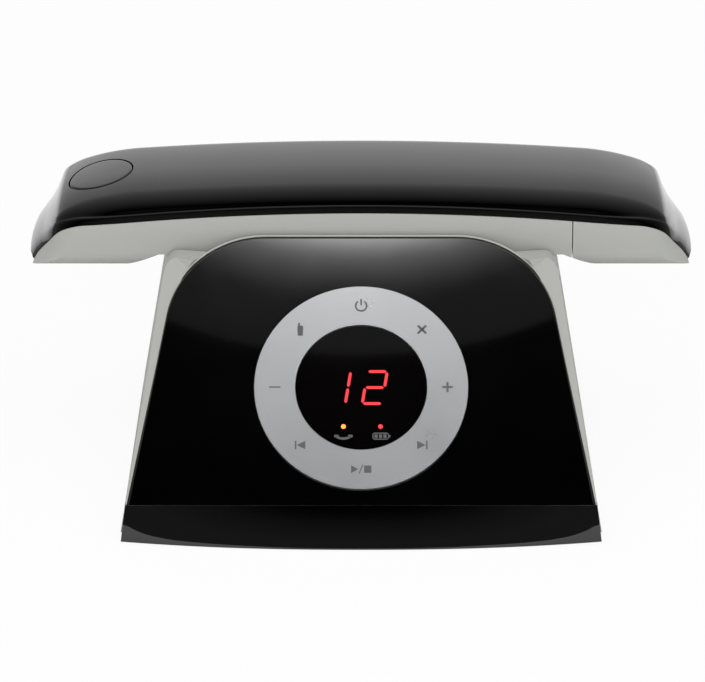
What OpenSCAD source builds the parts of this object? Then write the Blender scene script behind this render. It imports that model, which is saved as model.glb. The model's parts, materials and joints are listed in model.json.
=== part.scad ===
// Cordless telephone with an answering base: a handset lying across a sloped base.
// Millimetres, +Z up, origin on the table at the middle of the bounding box.
// X runs along the handset, the control ring faces -Y.

/* [Base] */
// half width of the base at table height
base_half_width = 76.2; // [72:0.1:80]
// half width lost per millimetre of height
base_side_taper = 0.17; // [0.1:0.01:0.22]
// how far the base reaches in front of and behind its middle
base_half_depth = 71; // [69:0.5:76]
// height of the crease between the front skirt and the sloped face
crease_height = 12; // [10:0.5:14]
// lean of the sloped face, measured from upright
face_lean = 45; // [43:0.5:47]
// how far the foot of the skirt stands in front of the crease at its corners
skirt_run = 2; // [1:0.5:4]
// how far the skirt bulges forward in the middle
skirt_bulge = 5.6; // [3:0.2:8]
// height of the housing beside the cradle
housing_height = 70.5; // [70:0.1:72]
// radius of the two upper outer edges of the housing
housing_edge_radius = 4; // [2:0.5:6]
// wall thickness of the mouldings
wall = 2.2; // [1.8:0.1:2.6]
// how far the back face leans forward over its height
back_lean_run = 9; // [8:0.5:9]
// radius of the two rear corners in plan
rear_corner_radius = 14; // [8:1:18]

/* [Front panel] */
// length of the black panel up the slope
panel_length = 90.2; // [88:0.1:91]
// half width of the panel at the crease
panel_half_width = 73.6; // [72:0.1:74]
// half width lost per millimetre up the slope
panel_taper = 0.18; // [0.15:0.01:0.2]
// radius of the panel's two upper corners
panel_corner_radius = 22; // [16:1:24]
// thickness of the panel
panel_thickness = 3; // [2.6:0.1:3.4]
// how far the panel stands proud of the housing's sloped face
panel_proud = 0.5; // [0.3:0.1:0.8]
// width of the bevel round the panel's face
panel_bevel = 0.7; // [0.4:0.1:1]

/* [Control ring and display] */
// outer radius of the control ring
ring_radius = 33.8; // [32:0.1:34.5]
// inner radius of the control ring
ring_inner_radius = 20.9; // [20:0.1:22]
// distance of the ring's centre from the crease, up the slope
ring_up_slope = 39; // [38:0.2:40]
// how far the ring stands proud of the panel
ring_proud = 1.2; // [0.8:0.1:1.6]
// thickness of the ring
ring_thickness = 2.6; // [2.2:0.1:3]
// gap between the ring and the parts round it
ring_gap = 0.35; // [0.3:0.05:0.5]
// thickness of the display window
window_thickness = 1.6; // [1.2:0.1:2]

/* [Handset] */
// height of the top of the handset above the table
handset_top = 90; // [89:0.1:91]
// distance of the handset's centre line behind the middle of the base
handset_y = 30; // [29.6:0.1:30.4]
// half width of the handset
handset_half_width = 27; // [26:0.1:27.5]
// radius of the handset's two long upper edges
shoulder_radius = 11; // [9:0.5:12]
// radius of the crown across the handset
crown_radius = 150; // [120:5:200]
// radius of the long arc along the back of the handset
back_radius = 1030; // [900:10:1200]
// radius of the arc where the back starts to fall towards each end
fall_radius = 75; // [65:1:85]
// radius of the bend into each end
end_radius = 26; // [24.5:0.5:28]
// height of the ear and mouth flats above the table
cap_flat_height = 63; // [62.5:0.1:63.4]
// height of the grip's underside above the table
grip_height = 68.3; // [68:0.1:68.6]
// half length of the grip's straight underside
grip_half_length = 64.9; // [64:0.1:66]
// distance from the middle to where each end's flat starts
cap_start = 76.5; // [75.5:0.1:78]
// radius of the lower long edges of the end caps
cap_edge_radius = 6; // [4:0.5:7]
// height of the seam between the two shells in the middle
seam_height = 82.3; // [81.8:0.1:82.8]
// wall thickness of the handset's shells
shell_wall = 1.8; // [1.5:0.1:2.1]
// height of the raised lip along the seam
lip_height = 2.2; // [1.6:0.1:2.8]
// how far the lip stands out from the crown
lip_depth = 0.45; // [0.3:0.05:0.6]
// radius of the round key on the back
round_key_radius = 10.6; // [9.5:0.1:11]
// distance of the round key from the middle of the handset
round_key_x = -84.6; // [-86:0.1:-83]
// gap round the round key
round_key_gap = 0.35; // [0.3:0.05:0.5]
// distance from the middle to the end of the battery cover
cover_start = 67.6; // [67:0.1:69]

/* [Keypad] */
// distance between keys along the handset
key_pitch_x = 10.4; // [10.2:0.1:10.6]
// distance between keys across the handset
key_pitch_y = 11.5; // [11.3:0.1:11.6]
// length of a key across the handset
key_length = 9.3; // [8.8:0.1:9.5]
// width of a key along the handset
key_width = 7; // [6.4:0.1:7.4]
// how far the keys stand out of the grip
key_proud = 0.7; // [0.5:0.1:0.9]
// gap round each key
key_gap = 0.3; // [0.25:0.05:0.4]

/* [Hidden] */
$fn = 72;
eps = 0.01;
z_floor = 1;                       // underside of the base above the table: the feet reach below it
y_front = -base_half_depth;        // foremost point of the skirt
y_corner = y_front + skirt_bulge;  // foot of the skirt at its corners
y_crease = y_corner + skirt_run;   // the crease between skirt and slope
y_rear = base_half_depth;          // rear foot of the base
slope_angle = 90 - face_lean;      // slope of the face above the horizontal
panel_top_y = y_crease + panel_length * sin(face_lean);
panel_top_z = crease_height + panel_length * cos(face_lean);
// the cradle's trough runs the full width under the handset
trough_gap = 0.8;
trough_half = handset_half_width + trough_gap;
trough_front = handset_y - trough_half;
trough_back = handset_y + trough_half;
rest_gap = 0.1;                    // between the handset and the ledges it lies on
ledge_z = grip_height - rest_gap;
channel_half = 19.5;               // key channel down the middle of the trough
channel_half_length = 61;
channel_depth = 4.6;
channel_z = ledge_z - channel_depth;
rim_top_z = housing_height + 3.5;  // wall behind the cradle
rim_back_y = y_rear - back_lean_run;
tray_top_z = 3.2;
board_z = 9;                       // underside of the main board, on the tray's posts
board_post_x = 40;
board_post_radius = 3;
board_post_y = [-26, 36];
tongue_half = 66;                  // half width of the tray's tongue under the skirt
speaker_y = 5;                     // the speaker and its slots lie over this line

// ---------- helpers ----------

// local x stays x, local y runs up the slope from the crease, local z leaves the face
module on_slope(up = 0, out = 0)
  translate([0, y_crease, crease_height]) rotate([slope_angle, 0, 0]) translate([0, up, out]) children();

// a 2D shape drawn in X and Z, made solid between two Y values
module along_y(y0, y1)
  translate([0, y1, 0]) rotate([90, 0, 0]) linear_extrude(y1 - y0) children();

// a 2D shape drawn in Y and Z, made solid between two X values
module along_x(x0, x1)
  translate([x0, 0, 0]) rotate([90, 0, 90]) linear_extrude(x1 - x0) children();

// a box given by its two opposite corners
module span(a, b) translate(a) cube(b - a);

module both_sides() { children(); mirror([1, 0, 0]) children(); }

// ---------- base outlines ----------

// outline of the housing seen from the front, moved in by d
module front_outline(d) {
  r = housing_edge_radius;
  tilt = atan(base_side_taper);
  top = housing_height - d;
  // centre of the edge arc: r + d inside the side wall and r below the top
  cz = housing_height - r;
  cx = base_half_width - base_side_taper * cz - r / cos(tilt);
  union() {
    polygon([[-half_width(0) + d, -1], [half_width(0) - d, -1],
             [cx + (r - d) * cos(tilt), cz + (r - d) * sin(tilt)], [cx, cz], [-cx, cz],
             [-cx - (r - d) * cos(tilt), cz + (r - d) * sin(tilt)]]);
    for (s = [-1, 1]) translate([s * cx, cz]) circle(r - d);
    translate([-cx, cz - 1]) square([2 * cx, top - cz + 1]);
  }
}
function half_width(z) = base_half_width - base_side_taper * z;

// side view of the housing block: the slope lies "behind" under the panel's face, the back is moved in by d
module side_outline(behind, d) {
  y0 = y_crease + behind / cos(face_lean);
  polygon([[y0, z_floor - d], [y0, crease_height],
    [y0 + (panel_top_z - crease_height) * tan(face_lean), panel_top_z],
    [rim_back_y - d, panel_top_z], [rim_back_y - d, rim_top_z], [y_rear - d, z_floor - d]]);
}

// what rounding takes off a rear corner: a cylinder lies along the side and the back, moved in by d;
// it stands out by corner_ease, so that it meets both faces in clean edges
corner_ease = 0.03;
side_tilt = atan(base_side_taper);
back_tilt = atan(back_lean_run / (rim_top_z - z_floor));
module rear_corner_cut(d) {
  r = rear_corner_radius;
  lean = asin(cos(side_tilt) * sin(back_tilt));
  start = (r - d) * sin(side_tilt) * sin(back_tilt);
  translate([half_width(0) - r / cos(side_tilt), y_rear + z_floor * tan(back_tilt) - r / cos(back_tilt), 0])
    rotate([lean, -side_tilt, 0]) difference() {
      translate([start, 0, -10]) cube([r + 8, r + 8, 110]);
      translate([corner_ease, corner_ease, -20]) cylinder(r = r - d, h = 130);
    }
}

// outline of the black panel on the slope, moved in by d
module panel_outline(d) {
  r = panel_corner_radius - d;
  tilt = atan(panel_taper);
  cy = panel_length - panel_corner_radius;
  cx = panel_half_width - panel_taper * cy - panel_corner_radius / cos(tilt);
  polygon([[-panel_half_width + d, d], [panel_half_width - d, d],
           [cx + r * cos(tilt), cy + r * sin(tilt)], [cx, cy + r], [-cx, cy + r],
           [-cx - r * cos(tilt), cy + r * sin(tilt)]]);
  for (s = [-1, 1]) translate([s * cx, cy]) circle(r);
}

// ---------- handset outlines ----------

// angles at which the arcs of the handset's back join
fall_angle = 4;
bend_angle = 18;
wall_angle = 62;
function at_angle(c, r, a) = [c[0] + r * sin(a), c[1] + r * cos(a)];
back_centre = [0, handset_top - back_radius];
fall_centre = at_angle(back_centre, back_radius - fall_radius, fall_angle);
bend_centre = at_angle(fall_centre, fall_radius - end_radius, bend_angle);
end_point = at_angle(bend_centre, end_radius, wall_angle);

// the cross-section's shoulder arcs run tangent into the crown's arc
shoulder_side = handset_half_width - shoulder_radius;
shoulder_drop = crown_radius - sqrt(pow(crown_radius - shoulder_radius, 2) - pow(shoulder_side, 2));
crown_angle = asin(shoulder_side / (crown_radius - shoulder_radius));
section_depth = 20;
shoulder_steps = 6;
crown_steps = 4;

// cross-section from one side over the crown to the other, moved in by d, as [height over the crown, side]
function half_section(d, s) = concat(
  [[-section_depth, s * (handset_half_width - d)]],
  [for (i = [0:shoulder_steps - 1]) let (a = 90 + (crown_angle - 90) * i / shoulder_steps)
    [-shoulder_drop + (shoulder_radius - d) * cos(a), s * (shoulder_side + (shoulder_radius - d) * sin(a))]]);
function reversed(v) = [for (i = [len(v) - 1:-1:0]) v[i]];
function section(d) = concat(half_section(d, -1),
  [for (i = [0:crown_steps]) let (a = crown_angle * (2 * i / crown_steps - 1))
    [-crown_radius + (crown_radius - d) * cos(a), (crown_radius - d) * sin(a)]],
  reversed(half_section(d, 1)));

// stations along the back, as [arc centre x, arc centre z, arc radius, angle, straight run past the arc]
fall_steps = 4;
bend_steps = 9;
back_steps = 8;
end_run = 14;
function half_stations(s) = concat(
  [[s * bend_centre[0], bend_centre[1], end_radius, s * wall_angle, end_run]],
  [for (i = [0:bend_steps - 1]) [s * bend_centre[0], bend_centre[1], end_radius,
    s * (wall_angle + (bend_angle - wall_angle) * i / bend_steps), 0]],
  [for (i = [0:fall_steps - 1]) [s * fall_centre[0], fall_centre[1], fall_radius,
    s * (bend_angle + (fall_angle - bend_angle) * i / fall_steps), 0]]);
stations = concat(half_stations(-1),
  [for (i = [0:back_steps]) [back_centre[0], back_centre[1], back_radius, fall_angle * (2 * i / back_steps - 1), 0]],
  reversed(half_stations(1)));
function at_station(t, p) = [
  t[0] + (t[2] + p[0]) * sin(t[3]) + sign(t[3]) * t[4] * cos(t[3]),
  handset_y + p[1],
  t[1] + (t[2] + p[0]) * cos(t[3]) - t[4] * abs(sin(t[3]))];

// the whole handset without its underside, moved in by d on the outer faces
module handset_blank(d) {
  ring = section(d);
  n = len(ring);
  m = len(stations);
  low = 40;
  tops = [for (t = stations, p = ring) at_station(t, p)];
  feet = [for (t = stations, s = [0, n - 1]) let (q = at_station(t, ring[s])) [q[0], q[1], low]];
  f = m * n;
  polyhedron(points = concat(tops, feet), faces = concat(
    [for (i = [0:m - 2], j = [0:n - 2]) [i * n + j, i * n + j + 1, (i + 1) * n + j + 1, (i + 1) * n + j]],
    [for (i = [0:m - 2]) [f + 2 * i, i * n, (i + 1) * n, f + 2 * i + 2]],
    [for (i = [0:m - 2]) [i * n + n - 1, f + 2 * i + 1, f + 2 * i + 3, (i + 1) * n + n - 1]],
    [for (i = [0:m - 2]) [f + 2 * i + 1, f + 2 * i, f + 2 * i + 2, f + 2 * i + 3]],
    [reversed([for (j = [0:n - 1]) j]), [f, f + 1, n - 1, 0]],
    [[for (j = [0:n - 1]) (m - 1) * n + j], [f + 2 * m - 1, f + 2 * m - 2, (m - 1) * n, m * n - 1]]),
    convexity = 6);
}

// region kept above the underside, in X and Z, raised by d
module above_underside(d) {
  polygon([[-120, cap_flat_height + d], [-cap_start - d / 3, cap_flat_height + d],
           [-grip_half_length - d / 3, grip_height + d], [grip_half_length + d / 3, grip_height + d],
           [cap_start + d / 3, cap_flat_height + d], [120, cap_flat_height + d], [120, 120], [-120, 120]]);
}

// region under the seam curve, in X and Z, raised by d
seam_end_x = 88;
seam_radius = 855;
seam_end_radius = 21;
seam_angle = asin(seam_end_x / seam_radius);
seam_centre = [0, seam_height - seam_radius];
seam_end_centre = at_angle(seam_centre, seam_radius - seam_end_radius, seam_angle);
module under_seam(d) {
  x = seam_end_x + d * sin(seam_angle);
  intersection() {
    translate(seam_centre) circle(seam_radius + d, $fn = 1440);
    translate([-x, 40]) square([2 * x, 60]);
  }
  for (s = [-1, 1]) {
    translate([s * seam_end_centre[0], seam_end_centre[1]]) circle(seam_end_radius + d, $fn = 144);
    translate([s * seam_end_centre[0] - seam_end_radius - d, 30]) square([2 * (seam_end_radius + d), seam_end_centre[1] - 30]);
  }
}

// lower cross-section of the handset with rounded long edges, in Y and Z, moved in by d
module lower_section(d) {
  w = handset_half_width - d;
  r = cap_edge_radius;
  z0 = cap_flat_height + d;
  translate([handset_y - w, z0 + r]) square([2 * w, 60]);
  translate([handset_y - w + r, z0]) square([2 * (w - r), 60]);
  for (s = [-1, 1]) translate([handset_y + s * (w - r), z0 + r]) circle(r);
}

module below_seam(d) intersection() {
  children();
  along_y(handset_y - 40, handset_y + 40) under_seam(d);
}

// a flat rounded rectangle
module rounded(w, l, r) {
  square([w, l - 2 * r], center = true);
  square([w - 2 * r, l], center = true);
  for (x = [-1, 1], y = [-1, 1]) translate([x * (w / 2 - r), y * (l / 2 - r)]) circle(r);
}

// a rounded bar standing between two heights
module bar(x, y, w, l, r, z0, z1) translate([x, y, z0]) linear_extrude(z1 - z0) rounded(w, l, r);

// a round rod standing between two heights
module rod(x, y, r, z0, z1) translate([x, y, z0]) cylinder(r = r, h = z1 - z0);

// ---------- base ----------

carrier_gap = 0.4;
carrier_radius = ring_radius + 3.7;
carrier_depth = 6.6;
recess_floor = 1.8;
front_behind = panel_thickness + recess_floor;
window_radius = ring_inner_radius - 0.4;
window_top = 0.4;
post_x = 58;
front_post_y = -36;
rear_post_y = 50;
screw_radius = 1.5;
screw_clearance = 0.1;
head_radius = 2.8;
foot_radius = 6;
foot_x = 57;
front_foot_y = 21 - base_half_depth;
rear_foot_y = base_half_depth - 11;
jack_x = 22;
jack_z = 12;
line_jack_width = 11;
line_jack_height = 8;
power_jack_x = -22;
power_jack_radius = 4;
power_bore_radius = 2.8;
power_bore_depth = 10;
power_pin_radius = 1;
pin_x = 50;
pin_spread = 8;
pin_radius = 1.6;
pin_gap = 0.05;
contact_radius = 2.6;

module housing_block(behind, d)
  difference() {
    intersection() {
      along_x(-90, 90) side_outline(behind, d);
      along_y(-90, 90) front_outline(d);
    }
    both_sides() rear_corner_cut(d);
  }

// the raised wall behind the panel's upper part
module crest()
  intersection() {
    on_slope(0, -40) linear_extrude(40 - panel_proud) panel_outline(-0.8);
    span([-80, -30, housing_height - 4], [80, trough_front, panel_top_z + 5]);
  }

module screw_post(y, top) rod(post_x, y, 3.6, tray_top_z + 0.2, top);

module main_housing() {
  color([0.71, 0.71, 0.69]) difference() {
    union() {
      difference() {
        union() {
          housing_block(panel_proud, 0);
          crest();
          intersection() {
            along_x(-52, 52) polygon([[trough_back, 60], [rim_back_y, 60], [rim_back_y, rim_top_z - 1.5],
              [rim_back_y - 1.5, rim_top_z], [trough_back, rim_top_z]]);
            along_y(0, 90) translate([0, 40]) rounded(104, 2 * (rim_top_z - 40), 5);
          }
        }
        // hollow inside, under the trough
        difference() {
          housing_block(front_behind, wall);
          span([-100, trough_front - wall, channel_z - wall], [100, 90, 100]);
        }
        // opening for the tray
        intersection() {
          housing_block(front_behind, wall);
          span([-100, -100, -5], [100, 100, z_floor + 1]);
        }
      }
      intersection() {
        both_sides() {
          screw_post(front_post_y, 60);
          screw_post(rear_post_y, channel_z - 1);
        }
        housing_block(front_behind - 1, 1);
      }
    }
    // the trough that the handset lies in, and the channel its keys hang in
    span([-100, trough_front, ledge_z], [100, trough_back, 120]);
    span([-channel_half_length, handset_y - channel_half, channel_z], [channel_half_length, handset_y + channel_half, 120]);
    // recess for the panel and the well for the ring's carrier
    on_slope(0, -panel_thickness) linear_extrude(20) panel_outline(-0.25);
    on_slope(ring_up_slope, -20) cylinder(r = carrier_radius + carrier_gap, h = 30);
    // seat for the skirt and slot for the tray's tongue
    span([-90, y_front - 1, 0], [90, skirt_back + skirt_gap, crease_height - 0.1]);
    span([-tongue_half - 0.3, y_crease - 1, 0], [tongue_half + 0.3, y_crease + 9, tray_top_z + 0.2]);
    both_sides() {
      rod(post_x, front_post_y, screw_radius + screw_clearance, 0, 16);
      rod(post_x, rear_post_y, screw_radius + screw_clearance, 0, 16);
    }
    for (s = [-1, 1]) rod(pin_x, handset_y + s * pin_spread, pin_radius + 0.3, channel_z - 6, 90);
    // sockets in the back
    span([jack_x - line_jack_width / 2 - 0.2, 55, jack_z - line_jack_height / 2 - 0.2],
         [jack_x + line_jack_width / 2 + 0.2, 80, jack_z + line_jack_height / 2 + 0.2]);
    translate([power_jack_x, 80, jack_z]) rotate([90, 0, 0]) cylinder(r = power_jack_radius + 0.2, h = 30);
  }
}

module front_panel() {
  color([0.03, 0.03, 0.03]) difference() {
    on_slope(0, -panel_thickness) union() {
      linear_extrude(panel_thickness - panel_bevel) panel_outline(0);
      translate([0, 0, panel_thickness - panel_bevel - eps]) hull() {
        linear_extrude(eps, $fn = 120) panel_outline(0);
        translate([0, 0, panel_bevel]) linear_extrude(eps, $fn = 120) panel_outline(panel_bevel);
      }
    }
    on_slope(ring_up_slope, -20) cylinder(r = ring_radius + ring_gap, h = 30);
  }
}

skirt_back = y_crease + 3;
skirt_gap = 0.2;
// plan of the skirt's foot, moved in by d and reaching back to y1
module skirt_foot(d, y1) {
  w = half_width(0) - d;
  r = (pow(half_width(0), 2) / skirt_bulge + skirt_bulge) / 2;
  intersection() {
    translate([0, y_front + r]) circle(r - d, $fn = 720);
    translate([-w, y_front]) square([2 * w, y1 - y_front]);
  }
}

module skirt_solid(d, y1) {
  w = half_width(crease_height) - d;
  z1 = crease_height - skirt_gap - d;
  hull() {
    translate([0, 0, z_floor]) linear_extrude(1) skirt_foot(d, y1);
    span([-w, y_crease + 0.3 + d, z1 - 0.2], [w, y1, z1]);
  }
}

module front_skirt() {
  color([0.03, 0.03, 0.03]) difference() {
    skirt_solid(0, skirt_back);
    // open at the back, with solid ends
    intersection() {
      translate([0, 0, -eps]) skirt_solid(1.8, skirt_back + 4);
      span([-71, -90, 0], [71, 0, 30]);
    }
    on_slope(0, -panel_thickness - skirt_gap) span([-90, -skirt_gap, 0], [90, 30, 20]);
  }
}

module bottom_tray() {
  g = wall + 0.3;
  color([0.05, 0.05, 0.05]) difference() {
    union() {
      intersection() {
        housing_block(front_behind + 1, g);
        span([-90, -90, z_floor], [90, 90, tray_top_z]);
      }
      // tongue that holds the skirt
      span([-tongue_half, y_crease + 0.8, z_floor], [tongue_half, y_crease + 12, tray_top_z]);
      for (x = [-board_post_x, board_post_x], y = board_post_y) rod(x, y, board_post_radius, z_floor, board_z);
    }
    both_sides() for (y = [front_post_y, rear_post_y]) {
      rod(post_x, y, screw_radius + screw_clearance, 0, 10);
      rod(post_x, y, head_radius + 0.3, 0, z_floor + 1.2);
    }
    both_sides() {
      rod(foot_x, front_foot_y, foot_radius + 0.1, 0, z_floor + 0.8);
      rod(foot_x, rear_foot_y, foot_radius + 0.1, 0, z_floor + 0.8);
    }
    // sound slots under the speaker
    for (i = [-4:4]) bar(i * 4, speaker_y, 1.6, 26 - abs(i) * 2.4, 0.79, 0, 10);
  }
}

module rubber_feet()
  color([0.12, 0.12, 0.12]) both_sides() {
    rod(foot_x, front_foot_y, foot_radius, 0, z_floor + 0.8);
    rod(foot_x, rear_foot_y, foot_radius, 0, z_floor + 0.8);
  }

module case_screws()
  color([0.6, 0.6, 0.62]) both_sides() for (y = [front_post_y, rear_post_y]) difference() {
    union() {
      rod(post_x, y, screw_radius, z_floor + 0.4, 15);
      rod(post_x, y, head_radius, z_floor, z_floor + 1.2);
    }
    span([post_x - 2, y - 0.35, 0], [post_x + 2, y + 0.35, z_floor + 0.7]);
    span([post_x - 0.35, y - 2, 0], [post_x + 0.35, y + 2, z_floor + 0.7]);
  }

module ballast_plate()
  color([0.5, 0.5, 0.52]) difference() {
    bar(0, 33, 60, 22, 3, tray_top_z, tray_top_z + 2.5);
    for (x = [-board_post_x, board_post_x]) rod(x, board_post_y[1], board_post_radius + 1, 0, 20);
  }

module base_speaker()
  color([0.25, 0.25, 0.25]) {
    rod(0, speaker_y, 15, tray_top_z, tray_top_z + 1);
    rod(0, speaker_y, 11, tray_top_z + 1, tray_top_z + 3.6);
    rod(0, speaker_y, 7, tray_top_z + 3.6, tray_top_z + 4.8);
  }

module main_board()
  color([0.1, 0.35, 0.2]) difference() {
    union() {
      span([-46, -32, board_z], [46, 48, board_z + 1.6]);
      span([-30, -26, board_z + 1.6], [-18, -14, board_z + 3.2]);
      span([-8, -26, board_z + 1.6], [6, -16, board_z + 3]);
      rod(26, -20, 4, board_z + 1.6, board_z + 12);
      rod(36, -20, 4, board_z + 1.6, board_z + 12);
      span([-12, 22, board_z + 1.6], [12, 40, board_z + 4]);
    }
    rod(0, speaker_y, 13, 0, 12);
  }

module antenna()
  color([0.75, 0.6, 0.3]) {
    span([-44, -8, board_z + 1.6], [-36, 10, board_z + 2.1]);
    span([-44, -8, board_z + 2.1], [-43.4, 10, board_z + 18]);
  }

module line_jack()
  color([0.1, 0.1, 0.1]) difference() {
    span([jack_x - line_jack_width / 2, 53, jack_z - line_jack_height / 2],
         [jack_x + line_jack_width / 2, jack_face_y, jack_z + line_jack_height / 2]);
    span([jack_x - 3.4, 57, jack_z - 2.2], [jack_x + 3.4, 90, jack_z + 2.4]);
    span([jack_x - 1.6, 57, jack_z - 3.3], [jack_x + 1.6, 90, jack_z]);
  }
jack_face_y = y_rear - 2.2;

module power_jack()
  color([0.1, 0.1, 0.1]) translate([power_jack_x, jack_face_y, jack_z]) rotate([90, 0, 0]) {
    difference() {
      cylinder(r = power_jack_radius, h = 13);
      translate([0, 0, -1]) cylinder(r = power_bore_radius, h = power_bore_depth + 1);
    }
    cylinder(r = power_pin_radius, h = power_bore_depth + 2);
  }

module charge_pins()
  color([0.85, 0.7, 0.35]) for (s = [-1, 1]) {
    rod(pin_x, handset_y + s * pin_spread, pin_radius, channel_z - 5, grip_height - pin_gap);
    rod(pin_x, handset_y + s * pin_spread, pin_radius + 0.8, channel_z - 5, channel_z - wall - 1.2);
  }

module pin_block()
  color([0.15, 0.15, 0.15]) difference() {
    span([pin_x - 5, handset_y - 13, channel_z - 9], [pin_x + 5, handset_y + 13, channel_z - wall]);
    for (s = [-1, 1]) {
      rod(pin_x, handset_y + s * pin_spread, pin_radius + 1.1, channel_z - 7, channel_z - wall - 1);
      rod(pin_x, handset_y + s * pin_spread, pin_radius + 0.3, channel_z - 7, 90);
    }
  }

// ---------- ring and display ----------

module display_carrier()
  color([0.04, 0.04, 0.04]) on_slope(ring_up_slope, 0) difference() {
    union() {
      translate([0, 0, -carrier_depth]) cylinder(r = carrier_radius, h = 1.4);
      translate([0, 0, -carrier_depth]) difference() {
        cylinder(r = carrier_radius, h = carrier_depth - panel_thickness);
        translate([0, 0, 1]) cylinder(r = carrier_radius - 2.4, h = 10);
      }
      translate([0, 0, -carrier_depth]) cylinder(r = window_radius, h = carrier_depth + window_top - window_thickness);
    }
    translate([0, 0, -carrier_depth + 1.2]) linear_extrude(10) rounded(28.4, 19.4, 1);
    for (s = [-1, 1]) translate([s * led_x, led_up, -carrier_depth + 1.2]) cylinder(r = led_radius + 0.15, h = 10);
  }
led_x = 5.9;
led_up = -13.2;
led_radius = 1.1;

module display_window()
  color([0.05, 0.02, 0.02, 0.6]) on_slope(ring_up_slope, window_top - window_thickness)
    cylinder(r = window_radius, h = window_thickness);

module segment_display()
  color([0.2, 0.03, 0.03]) on_slope(ring_up_slope, -carrier_depth + 1.2)
    linear_extrude(carrier_depth - 1.2 + window_top - window_thickness - 0.3) rounded(28, 19, 0.8);

module status_leds()
  color([0.9, 0.3, 0.1]) on_slope(ring_up_slope, 0)
    for (s = [-1, 1]) translate([s * led_x, led_up, -carrier_depth + 1.2])
      cylinder(r = led_radius, h = carrier_depth - 1.2 + window_top - window_thickness - 0.2);

module control_ring()
  color([0.78, 0.78, 0.8]) on_slope(ring_up_slope, ring_proud - ring_thickness) difference() {
    cylinder(r = ring_radius, h = ring_thickness);
    translate([0, 0, -1]) cylinder(r = ring_inner_radius, h = 10);
  }

mat_gap = 0.6;
mat_thickness = 1;
module ring_key_mat()
  color([0.3, 0.3, 0.3]) on_slope(ring_up_slope, ring_proud - ring_thickness - mat_gap - mat_thickness) {
    difference() {
      cylinder(r = ring_radius - 0.8, h = mat_thickness);
      translate([0, 0, -1]) cylinder(r = ring_inner_radius + 0.8, h = 10);
    }
    for (a = [0:45:315]) rotate([0, 0, a]) translate([0, 27.3, -1.1]) cylinder(r = 2.5, h = 1.2);
  }

// ---------- handset ----------

round_key_tilt = asin((-round_key_x - fall_centre[0]) / fall_radius);
round_key_z = fall_centre[1] + fall_radius * cos(round_key_tilt);
module at_round_key(out) translate([round_key_x, handset_y, round_key_z]) rotate([0, -round_key_tilt, 0])
  translate([0, 0, out]) children();
seam_gap = 0.1;
hood_end = 1.2;                    // the black shell stops this far above the ear flats
back_depth = shell_wall + lip_depth;

module handset_top_shell()
  color([0.03, 0.03, 0.03]) difference() {
    handset_blank(0);
    // thin skin taken off above the lip
    difference() {
      span([-130, -60, seam_end_centre[1] + 2], [130, 110, 130]);
      along_y(handset_y - 100, handset_y + 100) under_seam(lip_height);
      handset_blank(lip_depth);
    }
    along_y(handset_y - 40, handset_y + 40) under_seam(seam_gap);
    handset_blank(back_depth);
    span([-130, -50, 0], [130, 90, cap_flat_height + hood_end]);
    at_round_key(-6) cylinder(r = round_key_radius + round_key_gap, h = 12);
  }

module grey_outer() intersection() {
  below_seam(0) handset_blank(0);
  along_x(-120, 120) lower_section(0);
  along_y(-30, 80) above_underside(0);
}

module grey_inner() intersection() {
  handset_blank(shell_wall);
  along_x(-120, 120) lower_section(shell_wall);
  along_y(-30, 80) above_underside(shell_wall);
}

board_low = grip_height + 4.9;      // underside of the handset's board, on its posts
board_high = board_low + 1.2;
lcd_x = -46;
lcd_width = 25;
lcd_length = 33;
first_row_x = -22;
mic_x = 58;
ear_x = -90;
screw_x = [45, -62];
screw_y = 19;
function row_x(i) = first_row_x + i * key_pitch_x;
function col_y(j) = handset_y + j * key_pitch_y;

module handset_lower_shell()
  color([0.69, 0.69, 0.67]) difference() {
    union() {
      difference() {
        grey_outer();
        grey_inner();
        span([cover_start, -30, 40], [130, 90, 100]);
      }
      // bulkhead and roof of the battery bay
      intersection() {
        grey_inner();
        union() {
          span([cover_start - 3, handset_y - 26, 60], [cover_start - 1.6, handset_y + 26, 78.4]);
          span([cover_start - 3, handset_y - 19, 77.2], [91, handset_y + 19, 78.4]);
        }
      }
      for (s = [-1, 1]) rod(screw_x[0], handset_y + s * screw_y, 2.6, grip_height + 1, board_low);
      for (s = [-1, 1]) rod(screw_x[1], handset_y + s * screw_y, 2.6, grip_height + 1, board_low);
    }
    for (i = [0:5], j = [-1:1]) bar(row_x(i), col_y(j), key_width + 2 * key_gap, key_length + 2 * key_gap, 2.6, 60, 71);
    bar(lcd_x, handset_y, lcd_width + 0.3, lcd_length + 0.3, 2, 60, 71);
    rod(mic_x, handset_y, 0.8, 60, 71);
    for (i = [0:6]) rod(ear_x + 4.5 * (i > 0 ? cos(i * 60) : 0), handset_y + 4.5 * (i > 0 ? sin(i * 60) : 0), 1, 50, 66);
    for (s = [-1, 1]) rod(pin_x, handset_y + s * pin_spread, contact_radius + 0.05, 60, 71);
    for (s = [-1, 1], x = screw_x) rod(x, handset_y + s * screw_y, 1.3, 60, 80);
    for (s = [-1, 1], x = screw_x) rod(x, handset_y + s * screw_y, 2.2, 60, grip_height + 1.1);
  }

module battery_cover()
  color([0.69, 0.69, 0.67]) union() {
    difference() {
      intersection() {
        grey_outer();
        span([cover_start + 0.3, -30, 40], [130, 90, 100]);
      }
      grey_inner();
    }
  }

module battery_cells()
  color([0.2, 0.5, 0.3]) for (x = [80, 92]) translate([x, handset_y, 71.6]) rotate([90, 0, 0]) {
    translate([0, 0, -21.8]) cylinder(r = 5.2, h = 43.6);
    cylinder(r = 1.9, h = 22.6);
  }

module battery_contacts()
  color([0.75, 0.75, 0.75]) for (s = [-1, 1])
    span([76, handset_y + s * 23.2 - 0.25, 68], [90, handset_y + s * 23.2 + 0.25, 76]);

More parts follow.
